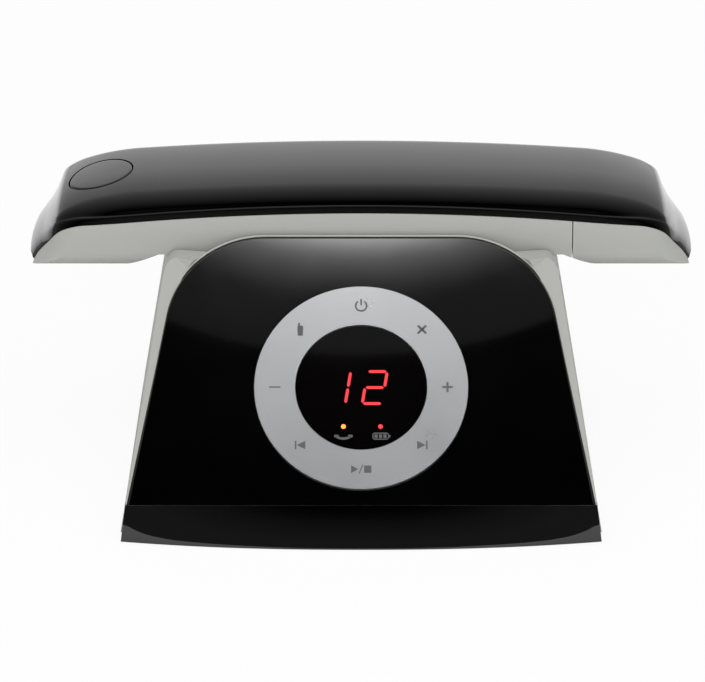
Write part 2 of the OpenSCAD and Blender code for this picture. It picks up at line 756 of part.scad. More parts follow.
module round_key()
  color([0.03, 0.03, 0.03]) {
    difference() {
      intersection() {
        handset_blank(lip_depth);
        at_round_key(-5) cylinder(r = round_key_radius, h = 12);
      }
      handset_blank(back_depth + 0.6);
    }
    at_round_key(-8) cylinder(r = 2, h = 6);
  }

module earpiece()
  color([0.2, 0.2, 0.2]) {
    rod(ear_x, handset_y, 9.5, cap_flat_height + shell_wall, cap_flat_height + shell_wall + 2.6);
    rod(ear_x, handset_y, 6, cap_flat_height + shell_wall + 2.6, cap_flat_height + shell_wall + 4.4);
  }

module microphone() color([0.6, 0.6, 0.6]) rod(mic_x, handset_y, 3, grip_height + shell_wall, grip_height + shell_wall + 2.2);

module handset_board()
  color([0.1, 0.35, 0.2]) difference() {
    union() {
      span([-64, handset_y - 21.5, board_low], [62, handset_y + 21.5, board_high]);
      span([-92, handset_y - 15, board_low], [-64, handset_y + 15, board_high]);
      span([-20, handset_y - 10, board_high], [-4, handset_y + 6, board_high + 1.4]);
      span([20, handset_y - 12, board_high], [38, handset_y + 12, board_high + 3]);
      span([round_key_x - 1, handset_y - 3, board_high], [round_key_x + 5, handset_y + 3, board_high + 0.8]);
    }
    for (s = [-1, 1], x = screw_x) rod(x, handset_y + s * screw_y, 1.4, 60, 80);
  }

module key_mat()
  color([0.5, 0.5, 0.48]) span([row_x(0) - 6, handset_y - 17.5, board_low - 1.4], [row_x(5) + 6, handset_y + 17.5, board_low - 0.1]);

module lcd_module()
  color([0.55, 0.6, 0.5]) span([lcd_x - 13.5, handset_y - 18, grip_height + shell_wall],
    [lcd_x + 13.5, handset_y + 18, board_low - 0.1]);

module lcd_window()
  color([0.2, 0.25, 0.22, 0.5]) bar(lcd_x, handset_y, lcd_width, lcd_length, 1.85, grip_height + 0.2, grip_height + 1.6);

module contact_pads()
  color([0.85, 0.7, 0.35]) for (s = [-1, 1]) rod(pin_x, handset_y + s * pin_spread, contact_radius, grip_height, grip_height + 2);

module handset_screws()
  color([0.6, 0.6, 0.62]) for (s = [-1, 1], x = screw_x) {
    rod(x, handset_y + s * screw_y, 1.2, grip_height + 0.3, board_high + 1.6);
    rod(x, handset_y + s * screw_y, 2.1, grip_height + 0.3, grip_height + 1);
  }

key_flange = 0.5;
module key(i, j) {
  bar(row_x(i), col_y(j), key_width, key_length, 2.3, grip_height - key_proud, grip_height + shell_wall + 0.6);
  bar(row_x(i), col_y(j), key_width + 2 * key_gap + key_flange, key_length + 2 * key_gap + key_flange, 2.9,
      grip_height + shell_wall + 0.1, grip_height + shell_wall + 0.9);
}
module soft_left_key() color([0.6, 0.6, 0.6]) key(0, 1);
module up_key() color([0.6, 0.6, 0.6]) key(0, 0);
module soft_right_key() color([0.6, 0.6, 0.6]) key(0, -1);
module talk_key() color([0.2, 0.6, 0.3]) key(1, 1);
module down_key() color([0.6, 0.6, 0.6]) key(1, 0);
module end_key() color([0.7, 0.2, 0.2]) key(1, -1);
module key_1() color([0.15, 0.15, 0.15]) key(2, 1);
module key_2() color([0.15, 0.15, 0.15]) key(2, 0);
module key_3() color([0.15, 0.15, 0.15]) key(2, -1);
module key_4() color([0.15, 0.15, 0.15]) key(3, 1);
module key_5() color([0.15, 0.15, 0.15]) key(3, 0);
module key_6() color([0.15, 0.15, 0.15]) key(3, -1);
module key_7() color([0.15, 0.15, 0.15]) key(4, 1);
module key_8() color([0.15, 0.15, 0.15]) key(4, 0);
module key_9() color([0.15, 0.15, 0.15]) key(4, -1);
module key_star() color([0.15, 0.15, 0.15]) key(5, 1);
module key_0() color([0.15, 0.15, 0.15]) key(5, 0);
module key_hash() color([0.15, 0.15, 0.15]) key(5, -1);

main_housing();
front_panel();
front_skirt();
bottom_tray();
rubber_feet();
case_screws();
ballast_plate();
base_speaker();
main_board();
antenna();
line_jack();
power_jack();
charge_pins();
pin_block();
display_carrier();
display_window();
segment_display();
status_leds();
control_ring();
ring_key_mat();
handset_top_shell();
handset_lower_shell();
battery_cover();
battery_cells();
battery_contacts();
round_key();
earpiece();
microphone();
handset_board();
key_mat();
lcd_module();
lcd_window();
contact_pads();
handset_screws();
soft_left_key();
up_key();
soft_right_key();
talk_key();
down_key();
end_key();
key_1();
key_2();
key_3();
key_4();
key_5();
key_6();
key_7();
key_8();
key_9();
key_star();
key_0();
key_hash();
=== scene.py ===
"""Looks of the cordless telephone with its answering base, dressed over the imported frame.

Sizes in the tables below are millimetres in the frame of the part; mesh data is in metres.
"""

import json
import math

import bmesh
import bpy
from mathutils import Matrix, Vector

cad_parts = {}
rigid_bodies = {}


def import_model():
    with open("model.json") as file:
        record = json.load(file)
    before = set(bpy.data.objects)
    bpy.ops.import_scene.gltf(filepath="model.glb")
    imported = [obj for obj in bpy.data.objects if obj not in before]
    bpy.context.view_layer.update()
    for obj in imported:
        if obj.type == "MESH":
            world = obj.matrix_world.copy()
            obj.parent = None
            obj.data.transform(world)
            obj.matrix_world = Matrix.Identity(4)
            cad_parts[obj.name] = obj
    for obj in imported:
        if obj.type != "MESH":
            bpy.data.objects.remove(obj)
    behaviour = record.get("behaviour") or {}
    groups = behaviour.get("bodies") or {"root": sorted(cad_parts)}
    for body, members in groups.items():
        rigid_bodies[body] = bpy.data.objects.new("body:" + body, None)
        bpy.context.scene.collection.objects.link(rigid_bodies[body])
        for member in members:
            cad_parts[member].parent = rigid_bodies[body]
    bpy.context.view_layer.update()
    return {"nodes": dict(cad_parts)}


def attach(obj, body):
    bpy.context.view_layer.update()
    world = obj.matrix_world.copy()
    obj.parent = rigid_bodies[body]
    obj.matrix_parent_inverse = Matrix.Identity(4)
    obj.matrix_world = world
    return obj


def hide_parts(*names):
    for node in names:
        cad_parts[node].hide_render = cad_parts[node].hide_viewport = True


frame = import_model()
MM = 0.001

# ---------- sizes shared with the part ----------

Y_CREASE, Z_CREASE = -63.4, 12.0
SLOPE = math.radians(45)
RING_UP = 39.0
RING_PROUD, WINDOW_TOP = 1.2, 0.4
ICON_RADIUS = 27.3

HALF_FOOT, SIDE_TAPER = 76.2, 0.17
Y_FRONT, SKIRT_BULGE, SKIRT_BACK = -71.0, 5.6, -60.4
HOUSING_TOP, TROUGH_FRONT = 70.5, 2.2
PANEL_HALF, PANEL_TAPER, PANEL_LENGTH = 73.6, 0.18, 90.2
SOLID_CORNER_R, CORNER_R = 22.0, 32.0

HANDSET_Y = 30.0
HALF_WIDTH = 27.0
SHOULDER_R, CROWN_R = 11.0, 150.0
BACK_R, FALL_R, BEND_R = 1030.0, 75.0, 26.0
FALL_A, BEND_A, WALL_A = math.radians(4), math.radians(18), math.radians(62)
HANDSET_TOP = 90.0
END_RUN = 14.0
HOOD_Z = 64.2
SEAM_Z, SEAM_R, SEAM_END_X, SEAM_END_R = 82.3, 855.0, 88.0, 21.0
SEAM_GAP, LIP_DEPTH, BACK_DEPTH = 0.1, 0.45, 2.25
KEY_X, KEY_R, KEY_GAP = -84.6, 10.6, 0.35
KEY_FACE_Z = 67.6
ROW_X0, PITCH_X, PITCH_Y = -22.0, 10.4, 11.5

# ---------- materials ----------


MOTTLE_SCALE = 45.0  # patches of colour and roughness to a metre


def linear(value):
    """A 0-255 screen value as linear light."""
    c = value / 255
    return c / 12.92 if c <= 0.04045 else ((c + 0.055) / 1.055) ** 2.4


def rgb(r, g, b):
    return (linear(r), linear(g), linear(b), 1)


def material(name, colour, rough, metal=0.0, grain=None, mottle=0.04, vary=0.04, coat=0.0, glow=0.0):
    """A moulded, metal or rubber finish. grain is (size in mm, depth in mm) of the fine surface texture,
    and mottle and vary are the shares by which colour and roughness wander."""
    m = bpy.data.materials.new(name)
    m.use_nodes = True
    nodes, links = m.node_tree.nodes, m.node_tree.links
    shader = nodes["Principled BSDF"]
    shader.inputs["Metallic"].default_value = metal
    shader.inputs["Specular IOR Level"].default_value = 0.5
    shader.inputs["Coat Weight"].default_value = coat
    shader.inputs["Coat Roughness"].default_value = 0.03
    place = nodes.new("ShaderNodeTexCoord")
    wide = nodes.new("ShaderNodeTexNoise")
    wide.inputs["Scale"].default_value = MOTTLE_SCALE
    wide.inputs["Detail"].default_value = 5
    links.new(place.outputs["Object"], wide.inputs["Vector"])
    shade = nodes.new("ShaderNodeMix")
    shade.data_type = "RGBA"
    shade.inputs[6].default_value = tuple(c * (1 - mottle) for c in colour[:3]) + (1,)
    shade.inputs[7].default_value = tuple(min(1, c * (1 + mottle)) for c in colour[:3]) + (1,)
    links.new(wide.outputs["Fac"], shade.inputs[0])
    links.new(shade.outputs[2], shader.inputs["Base Color"])
    spread = nodes.new("ShaderNodeMapRange")
    spread.inputs["From Min"].default_value = 0.3
    spread.inputs["From Max"].default_value = 0.7
    spread.inputs["To Min"].default_value = max(0.01, rough - vary)
    spread.inputs["To Max"].default_value = rough + vary
    links.new(wide.outputs["Fac"], spread.inputs["Value"])
    links.new(spread.outputs["Result"], shader.inputs["Roughness"])
    if grain:
        size, depth = grain
        fine = nodes.new("ShaderNodeTexNoise")
        fine.inputs["Scale"].default_value = 1 / (size * MM)
        fine.inputs["Detail"].default_value = 2
        links.new(place.outputs["Object"], fine.inputs["Vector"])
        bump = nodes.new("ShaderNodeBump")
        bump.inputs["Distance"].default_value = depth * MM
        bump.inputs["Strength"].default_value = 1.0
        links.new(fine.outputs["Fac"], bump.inputs["Height"])
        links.new(bump.outputs["Normal"], shader.inputs["Normal"])
    if glow:
        shader.inputs["Emission Color"].default_value = colour
        shader.inputs["Emission Strength"].default_value = glow
    return m


MATS = {
    "grey_shell": material("grey_shell", rgb(172, 173, 168), 0.42, grain=(0.4, 0.012), mottle=0.02),
    "black_gloss": material("black_gloss", rgb(2, 2, 2), 0.05, grain=(7.0, 0.0015), vary=0.02, mottle=0.1,
                            coat=1.0),
    "black_matte": material("black_matte", rgb(30, 30, 31), 0.55, grain=(0.5, 0.03), mottle=0.08),
    "foot_rubber": material("foot_rubber", rgb(48, 48, 50), 0.8, grain=(0.8, 0.05), mottle=0.12),
    "screw_steel": material("screw_steel", rgb(168, 168, 172), 0.32, metal=1, grain=(0.3, 0.01)),
    "plate_steel": material("plate_steel", rgb(150, 152, 156), 0.4, metal=1, grain=(0.6, 0.02), mottle=0.1),
    "speaker_black": material("speaker_black", rgb(42, 42, 44), 0.7, grain=(0.7, 0.05), mottle=0.1),
    "circuit_green": material("circuit_green", rgb(30, 92, 58), 0.35, grain=(1.2, 0.02), mottle=0.15),
    "antenna_brass": material("antenna_brass", rgb(200, 168, 96), 0.3, metal=1, grain=(0.5, 0.01), mottle=0.08),
    "socket_black": material("socket_black", rgb(24, 24, 25), 0.4, grain=(0.5, 0.02), mottle=0.1),
    "gold_contact": material("gold_contact", rgb(220, 186, 110), 0.22, metal=1, grain=(0.4, 0.006), mottle=0.05),
    "display_glass": material("display_glass", rgb(4, 3, 3), 0.04, grain=(5.0, 0.001), vary=0.01, mottle=0.1,
                              coat=1.0),
    "display_red": material("display_red", rgb(90, 20, 16), 0.4, grain=(1.0, 0.01), mottle=0.1),
    "led_amber": material("led_amber", rgb(236, 150, 60), 0.3, grain=(1.0, 0.01), mottle=0.05),
    "ring_aluminium": material("ring_aluminium", rgb(158, 159, 161), 0.31, metal=0.64, mottle=0.03,
                               vary=0.05),
    "mat_rubber": material("mat_rubber", rgb(70, 70, 72), 0.75, grain=(0.8, 0.03), mottle=0.1),
    "cell_green": material("cell_green", rgb(58, 140, 92), 0.35, grain=(2.0, 0.02), mottle=0.12),
    "contact_steel": material("contact_steel", rgb(186, 186, 190), 0.28, metal=1, grain=(0.4, 0.01)),
    "lcd_grey": material("lcd_grey", rgb(138, 150, 132), 0.5, grain=(0.5, 0.01), mottle=0.05),
    "lcd_glass": material("lcd_glass", rgb(78, 88, 80), 0.08, grain=(4.0, 0.002), vary=0.03),
    "key_silver": material("key_silver", rgb(176, 177, 180), 0.38, grain=(0.4, 0.012), mottle=0.04),
    "key_green": material("key_green", rgb(56, 140, 82), 0.4, grain=(0.4, 0.012), mottle=0.06),
    "key_red": material("key_red", rgb(168, 50, 46), 0.4, grain=(0.4, 0.012), mottle=0.06),
    "key_black": material("key_black", rgb(44, 44, 46), 0.42, grain=(0.4, 0.012), mottle=0.06),
}
INK_GREY = material("icon_ink", rgb(92, 93, 96), 0.5, grain=(0.3, 0.004), mottle=0.06)
INK_WHITE = material("legend_ink", rgb(222, 222, 220), 0.5, grain=(0.3, 0.004), mottle=0.03)
INK_DARK = material("symbol_ink", rgb(58, 58, 60), 0.5, grain=(0.3, 0.004), mottle=0.06)
INK_DIM = material("display_ink", rgb(96, 96, 98), 0.5, grain=(0.3, 0.004), mottle=0.05)
LIT_RED = material("digit_light", rgb(208, 48, 54), 0.4, grain=(0.6, 0.004), mottle=0.05, glow=0.8)
LIT_AMBER = material("amber_light", rgb(255, 150, 60), 0.4, grain=(0.6, 0.004), mottle=0.05, glow=1.0)

# ---------- mesh helpers ----------


def finished(obj, body, slot, mat=None):
    """Every made piece rides on a body and has its finish: the given material, or else the one its slot names."""
    obj.data.materials.clear()
    obj.data.materials.append(mat or MATS[slot])
    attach(obj, body)
    return obj


def from_bmesh(name, bm, smooth_angle=30):
    bmesh.ops.recalc_face_normals(bm, faces=bm.faces)
    mesh = bpy.data.meshes.new(name)
    bm.to_mesh(mesh)
    bm.free()
    for layer in ("custom_normal", "sharp_face"):
        if layer in mesh.attributes:
            mesh.attributes.remove(mesh.attributes[layer])
    mesh.polygons.foreach_set("use_smooth", [True] * len(mesh.polygons))
    mesh.set_sharp_from_angle(angle=math.radians(smooth_angle))
    obj = bpy.data.objects.new(name, mesh)
    bpy.context.scene.collection.objects.link(obj)
    return obj


def smooth_copy(node, name, body, slot, dissolve=True, shape=None):
    """The node's own shape, welded and smoothly shaded; dissolve merges its flat faces, shape moves its points."""
    bm = bmesh.new()
    bm.from_mesh(frame["nodes"][node].data)
    bmesh.ops.remove_doubles(bm, verts=bm.verts, dist=0.004 * MM)
    bmesh.ops.dissolve_degenerate(bm, edges=bm.edges, dist=0.002 * MM)
    if dissolve:
        bmesh.ops.dissolve_limit(bm, angle_limit=math.radians(0.4), verts=bm.verts, edges=bm.edges,
                                 delimit={"NORMAL"})
    for vert in bm.verts if shape else ():
        vert.co = shape(vert.co / MM) * MM
    obj = from_bmesh(name, bm)
    finished(obj, body, slot)
    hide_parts(node)


def eased(value, low, high):
    t = min(1.0, max(0.0, (value - low) / (high - low)))
    return t * t * (3 - 2 * t)


# the base narrows towards its back and its top, where the solids keep straight sides
NARROW_FROM_Y, NARROW_TO_Y, NARROW_BY = -10.0, 71.0, 4.3
TOP_FROM_Z, TOP_TO_Z, TOP_BY = 50.0, 68.0, 1.8
# shares of the half width between which the side walls start to move
SIDE_FROM, SIDE_TO = 0.86, 0.94
# the handset's ends are drawn in over their foot, less again over the shoulder, and towards the back
END_BY, END_BACK = 1.2, 2.6
END_FROM_X, END_OVER_X, END_BEHIND_X = 95.5, 102.5, 104.0
END_FOOT_Z, END_FULL_Z, END_LESS_Z, END_TOP_Z, END_LESS = 64.0, 71.0, 74.0, 84.0, 0.3
# the panel's lower bevel, and where its upper edge goes
BEVEL_LOW, BEVEL_HIGH, BEVEL_OUT, BEVEL_TO = 0.1, 0.95, -0.2, 0.2


def narrowed(p):
    """Moves the side walls of the base in towards the back, and leaves what stands inside in its place."""
    half = HALF_FOOT - SIDE_TAPER * p.z
    side = eased(abs(p.x) / half, SIDE_FROM, SIDE_TO)
    back = min(1.0, max(0.0, (p.y - NARROW_FROM_Y) / (NARROW_TO_Y - NARROW_FROM_Y)))
    inward = (NARROW_BY * back + TOP_BY * eased(p.z, TOP_FROM_Z, TOP_TO_Z)) * side
    return Vector((p.x - math.copysign(inward, p.x), p.y, p.z))


def slimmer_end(p):
    """Draws in the handset's two ends beyond the round key, more over their foot and towards the back."""
    less = 1 - END_LESS * eased(p.z, END_LESS_Z, END_TOP_Z)
    over = END_BY * eased(p.z, END_FOOT_Z, END_FULL_Z) * less * eased(abs(p.x), END_FROM_X, END_OVER_X)
    share = (p.y - HANDSET_Y + HALF_WIDTH) / (2 * HALF_WIDTH)
    behind = END_BACK * share * eased(abs(p.x), END_FROM_X, END_BEHIND_X)
    inward = over + max(0.0, behind)
    return Vector((p.x - math.copysign(inward, p.x), p.y, p.z))


def up_and_out(p):
    """How far up the sloped face a point lies, and how far out of it."""
    c, s = math.cos(SLOPE), math.sin(SLOPE)
    dy, dz = p.y - Y_CREASE, p.z - Z_CREASE
    return dy * c + dz * s, dz * c - dy * s


def finer_foot(p):
    """Brings the panel's lower bevel close to the crease."""
    up, out = up_and_out(p)
    if BEVEL_LOW < up < BEVEL_HIGH and out > BEVEL_OUT:
        down = up - BEVEL_TO
        return Vector((p.x, p.y - down * math.cos(SLOPE), p.z - down * math.sin(SLOPE)))
    return p


def rounder_corner(p):
    """Turns the panel's upper corners, and what follows them, from the solids' radius to the wider one."""
    c, s = math.cos(SLOPE), math.sin(SLOPE)
    up, out = up_and_out(p)
    tilt = math.atan(PANEL_TAPER)
    across, above = abs(p.x) - corner_x(SOLID_CORNER_R), up - (PANEL_LENGTH - SOLID_CORNER_R)
    reach = math.hypot(across, above)
    angle = math.atan2(above, across)
    if p.z < 30 or angle < tilt - 0.02 or angle > math.pi / 2 + 0.02:
        return p
    # only what lies close to the corner's own arc moves with it
    weight = eased(reach, 19.0, 20.5) * (1 - eased(reach, 23.1, 24.3))
    grown = reach + CORNER_R - SOLID_CORNER_R
    x = corner_x(CORNER_R) + grown * math.cos(angle)
    move_x = (x - abs(p.x)) * weight
    move_up = (PANEL_LENGTH - CORNER_R + grown * math.sin(angle) - up) * weight
    # behind the face, what lies on the top or on the trough's wall stays on it
    move_out = 0.0
    if out < -0.6 and reach > SOLID_CORNER_R + 0.5:
        if abs(p.z - HOUSING_TOP) < 0.05:
            move_out = -move_up
        elif abs(p.y - TROUGH_FRONT) < 0.05:
            move_out = move_up
    side = math.copysign(1.0, p.x)
    return Vector((p.x + side * move_x, p.y + move_up * c - move_out * s, p.z + move_up * s + move_out * c))


def corner_x(radius):
    """How far from the middle the centre of the panel's upper corner lies."""
    return PANEL_HALF - PANEL_TAPER * (PANEL_LENGTH - radius) - radius / math.cos(math.atan(PANEL_TAPER))


class Flat:
    """Thin printed or lit shapes, drawn flat in millimetres, given a thickness and set on a face."""

    def __init__(self):
        self.bm = bmesh.new()

    def poly(self, points):
        self.bm.faces.new([self.bm.verts.new((x * MM, y * MM, 0)) for x, y in points])

    def box(self, x0, y0, x1, y1):
        self.poly([(x0, y0), (x1, y0), (x1, y1), (x0, y1)])

    def disc(self, x, y, r, steps=28):
        turn = 2 * math.pi / steps
        self.poly([(x + r * math.cos(i * turn), y + r * math.sin(i * turn)) for i in range(steps)])

    def stroke(self, points, width, closed=False):
        n = len(points)
        edges = []
        for i, (x, y) in enumerate(points):
            before = points[i - 1] if closed or i else points[i]
            after = points[(i + 1) % n] if closed or i < n - 1 else points[i]
            d = Vector((after[0] - before[0], after[1] - before[1])).normalized()
            a = Vector((points[i][0] - before[0], points[i][1] - before[1]))
            grow = 1 / max(0.5, a.normalized().dot(d)) if a.length > 1e-6 else 1
            side = Vector((-d.y, d.x)) * width / 2 * grow
            edges.append([self.bm.verts.new(((x + s * side.x) * MM, (y + s * side.y) * MM, 0)) for s in (-1, 1)])
        for i in range(n if closed else n - 1):
            a, b = edges[i], edges[(i + 1) % n]
            self.bm.faces.new([a[0], b[0], b[1], a[1]])

    def arc(self, x, y, r, a0, a1, width, steps=24):
        full = abs(a1 - a0) >= 360
        count = steps if full else steps + 1
        turns = [math.radians(a0 + (a1 - a0) * i / steps) for i in range(count)]
        self.stroke([(x + r * math.cos(t), y + r * math.sin(t)) for t in turns], width, full)

    def glyph(self, body, size, x=0, y=0):
        curve = bpy.data.curves.new("glyph", "FONT")
        curve.body, curve.size = body, size * MM
        curve.align_x, curve.align_y = "CENTER", "CENTER"
        curve.fill_mode = "FRONT"
        holder = bpy.data.objects.new("glyph", curve)
        bpy.context.scene.collection.objects.link(holder)
        bpy.context.view_layer.update()
        mesh = bpy.data.meshes.new_from_object(holder.evaluated_get(bpy.context.evaluated_depsgraph_get()))
        mesh.transform(Matrix.Translation((x * MM, y * MM, 0)))
        self.bm.from_mesh(mesh)
        bpy.data.meshes.remove(mesh)
        bpy.data.objects.remove(holder)
        bpy.data.curves.remove(curve)

    def place(self, name, matrix, body, slot, mat, thick=0.05):
        bm = self.bm
        bmesh.ops.remove_doubles(bm, verts=bm.verts, dist=0.001 * MM)
        top = bmesh.ops.extrude_face_region(bm, geom=bm.faces[:])
        raised = [v for v in top["geom"] if isinstance(v, bmesh.types.BMVert)]
        bmesh.ops.translate(bm, vec=(0, 0, thick * MM), verts=raised)
        bmesh.ops.transform(bm, matrix=matrix, verts=bm.verts)
        return finished(from_bmesh(name, bm), body, slot, mat)


def on_slope(x, up, out):
    """Frame on the sloped face: local x across, local y up the slope, local z out of it."""
    c, s = math.cos(SLOPE), math.sin(SLOPE)
    origin = Vector((x, Y_CREASE + up * c - out * s, Z_CREASE + up * s + out * c)) * MM
    axes = Matrix(((1, 0, 0), (0, c, -s), (0, s, c))).to_4x4()
    return Matrix.Translation(origin) @ axes


def under(x, y, z):
    """Frame on the underside of the handset, as it reads in the hand with the ear end up."""
    axes = Matrix(((0, -1, 0), (-1, 0, 0), (0, 0, -1))).to_4x4()
    return Matrix.Translation(Vector((x, y, z)) * MM) @ axes


# ---------- the handset's back shell, smooth ----------


def from_centre(centre, radius, angle):
    return (centre[0] + radius * math.sin(angle), centre[1] + radius * math.cos(angle))


BACK_C = (0.0, HANDSET_TOP - BACK_R)
FALL_C = from_centre(BACK_C, BACK_R - FALL_R, FALL_A)
BEND_C = from_centre(FALL_C, FALL_R - BEND_R, BEND_A)
SHOULDER_SIDE = HALF_WIDTH - SHOULDER_R
CROWN_A = math.asin(SHOULDER_SIDE / (CROWN_R - SHOULDER_R))
SHOULDER_DROP = CROWN_R - (CROWN_R - SHOULDER_R) * math.cos(CROWN_A)
SIDE_DEPTH = 20.0
SEAM_A = math.asin(SEAM_END_X / SEAM_R)
SEAM_END_C = from_centre((0.0, SEAM_Z - SEAM_R), SEAM_R - SEAM_END_R, SEAM_A)


def stations():
    """(centre, radius, signed angle, straight run, share of the lip) along the back, from -X to +X."""
    half = [(BEND_C, BEND_R, WALL_A, END_RUN * i / 6, 0.0) for i in range(6, 0, -1)]
    for i in range(24):
        a = WALL_A + (BEND_A - WALL_A) * i / 24
        t = 1 - (a - BEND_A) / (WALL_A - BEND_A)
        half.append((BEND_C, BEND_R, a, 0.0, t * t * (3 - 2 * t)))
    half += [(FALL_C, FALL_R, BEND_A + (FALL_A - BEND_A) * i / 12, 0.0, 1.0) for i in range(12)]
    left = [((-c[0], c[1]), r, -a, run, lip) for c, r, a, run, lip in half]
    middle = [(BACK_C, BACK_R, FALL_A * (i / 12 - 1), 0.0, 1.0) for i in range(25)]
    return left + middle + half[::-1]


def across(q, d):
    """Height over the back line and distance from the middle, q along the section from the crown down a side."""
    crown = (CROWN_R - d) * CROWN_A
    if q < crown:
        a = q / (CROWN_R - d)
        return -CROWN_R + (CROWN_R - d) * math.cos(a), (CROWN_R - d) * math.sin(a)
    bend = (SHOULDER_R - d) * (math.pi / 2 - CROWN_A)
    if q < crown + bend:
        a = CROWN_A + (q - crown) / (SHOULDER_R - d)
        return -SHOULDER_DROP + (SHOULDER_R - d) * math.cos(a), SHOULDER_SIDE + (SHOULDER_R - d) * math.sin(a)
    return -SHOULDER_DROP - (q - crown - bend), HALF_WIDTH - d


def skin(station, q, d, side):
    centre, radius, angle, run, _ = station
    h, w = across(q, d)
    s, c = math.sin(angle), math.cos(angle)
    x, z = centre[0] + (radius + h) * s, centre[1] + (radius + h) * c
    if run:
        run = min(run, max(0.0, (z - HOOD_Z) / abs(s)))
        x += math.copysign(run * c, angle)
        z -= run * abs(s)
    return x, HANDSET_Y + side * w, z


def under_seam(x, z, grow):
    if x * x + (z - SEAM_Z + SEAM_R) ** 2 < (SEAM_R + grow) ** 2 and abs(x) < SEAM_END_X + grow * math.sin(SEAM_A):
        return True
    dx, dz = abs(x) - SEAM_END_C[0], z - SEAM_END_C[1]
    return dx * dx + dz * dz < (SEAM_END_R + grow) ** 2 or (abs(dx) < SEAM_END_R + grow and dz < 0)


def seam_at(station, d, grow):
    """How far down the section the seam, raised by grow, crosses it."""
    crown, bend = (CROWN_R - d) * CROWN_A, (SHOULDER_R - d) * (math.pi / 2 - CROWN_A)
    low, high = 0.0, crown + bend + SIDE_DEPTH - SHOULDER_DROP
    for _ in range(34):
        mid = (low + high) / 2
        x, _, z = skin(station, mid, d, 1)
        if under_seam(x, z, grow):
            high = mid
        else:
            low = mid
    return low


# the lip's profile over the seam, as (depth below the outermost skin, distance up from the seam)
LIP = [(0.0, SEAM_GAP), (0.0, 0.5), (0.0, 1.6), (0.04, 1.84), (0.14, 2.03), (0.28, 2.12), (0.42, 2.15),
       (LIP_DEPTH, 2.3), (LIP_DEPTH, 2.9)]
OUTER, INNER = 40, 14


def section(station):
    """One closed loop round the shell: outside from the front seam to the rear seam, then back inside."""
    lip = station[4]
    outside, inside = [], []
    for side in (-1, 1):
        depths = [(LIP_DEPTH + (d - LIP_DEPTH) * lip, grow) for d, grow in LIP]
        row = [(seam_at(station, d, grow), d) for d, grow in depths]
        last, d = row[-1]
        row += [(last * (1 - i / OUTER), d) for i in range(1, OUTER)]
        half = [skin(station, q, d, side) for q, d in row]
        end = seam_at(station, BACK_DEPTH, SEAM_GAP)
        back = [skin(station, end * (1 - i / INNER), BACK_DEPTH, side) for i in range(INNER)]
        outside.append(half)
        inside.append(back)
    top = [skin(station, 0.0, LIP_DEPTH, 1)]
    roof = [skin(station, 0.0, BACK_DEPTH, 1)]
    return outside[0] + top + outside[1][::-1], inside[0] + roof + inside[1][::-1]


def back_shell():
    bm = bmesh.new()
    rows = []
    for station in stations():
        out, back = section(station)
        rows.append([bm.verts.new(slimmer_end(Vector(p)) * MM) for p in out + back[::-1]])
    n = len(rows[0])
    for a, b in zip(rows, rows[1:]):
        for j in range(n):
            k = (j + 1) % n
            bm.faces.new([a[j], a[k], b[k], b[j]])
    split = len(section(stations()[0])[0])
    for row, flip in ((rows[0], 1), (rows[-1], -1)):
        out, back = row[:split], row[split:][::-1]
        ratio = (len(back) - 1) / (len(out) - 1)
        for j in range(len(out) - 1):
            k0, k1 = round(j * ratio), round((j + 1) * ratio)
            face = [out[j], out[j + 1], back[k1]] + ([back[k0]] if k0 != k1 else [])
            bm.faces.new(face[::flip])
    bmesh.ops.remove_doubles(bm, verts=bm.verts, dist=0.002 * MM)
    bmesh.ops.dissolve_degenerate(bm, edges=bm.edges, dist=0.002 * MM)
    return from_bmesh("handset_back", bm, 40)


KEY_TILT = math.asin((-KEY_X - FALL_C[0]) / FALL_R)
KEY_Z = FALL_C[1] + FALL_R * math.cos(KEY_TILT)
KEY_MATRIX = Matrix.Translation(Vector((KEY_X, HANDSET_Y, KEY_Z)) * MM) @ Matrix.Rotation(-KEY_TILT, 4, "Y")


def back_height(x, y, d):
    """Height of the handset's back over a point of the crown."""
    a = math.asin((y - HANDSET_Y) / (CROWN_R - d))
    h = -CROWN_R + (CROWN_R - d) * math.cos(a)
    arcs = ((BACK_C, BACK_R, FALL_A), (FALL_C, FALL_R, BEND_A), (BEND_C, BEND_R, math.pi / 2))
    for centre, radius, limit in arcs:
        if abs(x) <= centre[0] + (radius + h) * math.sin(limit):
            return centre[1] + math.sqrt((radius + h) ** 2 - (abs(x) - centre[0]) ** 2)
    return 0.0


def on_key(r, a, d):
    """Point of the handset's back over a polar place on the round key, lowered by d."""
    ez = Vector((-math.sin(KEY_TILT), 0, math.cos(KEY_TILT)))
    p = Vector((KEY_X, HANDSET_Y, KEY_Z)) + r * math.cos(a) * Vector((math.cos(KEY_TILT), 0, math.sin(KEY_TILT)))
    p += Vector((0, r * math.sin(a), 0))
    for _ in range(6):
        p += ez * (back_height(p.x, p.y, LIP_DEPTH) - p.z) * math.cos(KEY_TILT)
    return p - ez * d


def round_key_cap():
    bm = bmesh.new()
    steps = 96
    rings = [(r, 0.0) for r in (2.2, 4.4, 6.4, 8.2, 9.4, 9.95)]
    rings += [(10.25, 0.05), (10.42, 0.16), (10.54, 0.32), (KEY_R, 0.55), (KEY_R, 2.6)]
    centre = bm.verts.new(on_key(0, 0, 0) * MM)
    rows = [[bm.verts.new(on_key(r, 2 * math.pi * i / steps, d) * MM) for i in range(steps)] for r, d in rings]
    for i in range(steps):
        bm.faces.new([centre, rows[0][i], rows[0][(i + 1) % steps]])
        for a, b in zip(rows, rows[1:]):
            bm.faces.new([a[i], b[i], b[(i + 1) % steps], a[(i + 1) % steps]])
    bm.faces.new(rows[-1][::-1])
    obj = from_bmesh("round_key_cap", bm, 50)
    finished(obj, "back_key", "black_gloss")
    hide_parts("round_key")


